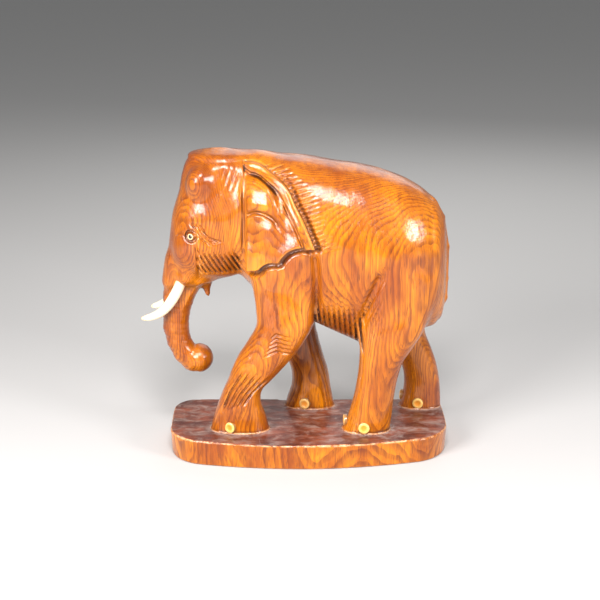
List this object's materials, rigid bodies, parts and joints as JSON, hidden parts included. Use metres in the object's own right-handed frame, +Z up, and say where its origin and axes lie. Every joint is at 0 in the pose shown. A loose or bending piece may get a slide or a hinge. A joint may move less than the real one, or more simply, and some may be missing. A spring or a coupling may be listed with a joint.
{
  "type": "carved elephant figurine",
  "caption": "Lacquered wooden elephant walking on a thick oblong plinth, carved from one block, with inlaid pale tusks, eyes and toenails",
  "frame": {"origin": "the middle of the plinth's flat underside", "axes": "+Z up; the elephant faces -X; its left side, the side the picture shows, is towards -Y"},
  "size_m": [0.286, 0.1375, 0.285],
  "materials": {
    "carved_wood": "glossy lacquer over orange-brown hardwood",
    "tusk_pale": "polished cream",
    "eye_pale": "glossy cream",
    "pupil_black": "glossy black",
    "nail_inlay": "pale yellow, lacquered over"
  },
  "bodies": {
    "root": {"elephant_carving": "carved_wood", "tusk_left": "tusk_pale", "tusk_right": "tusk_pale", "eye_left": "eye_pale", "eye_right": "eye_pale", "pupil_left": "pupil_black", "pupil_right": "pupil_black", "toenail_front_left_outer": "nail_inlay", "toenail_front_left_front": "nail_inlay", "toenail_front_left_inner": "nail_inlay", "toenail_front_right_outer": "nail_inlay", "toenail_front_right_front": "nail_inlay", "toenail_front_right_inner": "nail_inlay", "toenail_hind_left_outer": "nail_inlay", "toenail_hind_left_front": "nail_inlay", "toenail_hind_left_inner": "nail_inlay", "toenail_hind_right_outer": "nail_inlay", "toenail_hind_right_front": "nail_inlay", "toenail_hind_right_inner": "nail_inlay"}
  },
  "joints": []
}
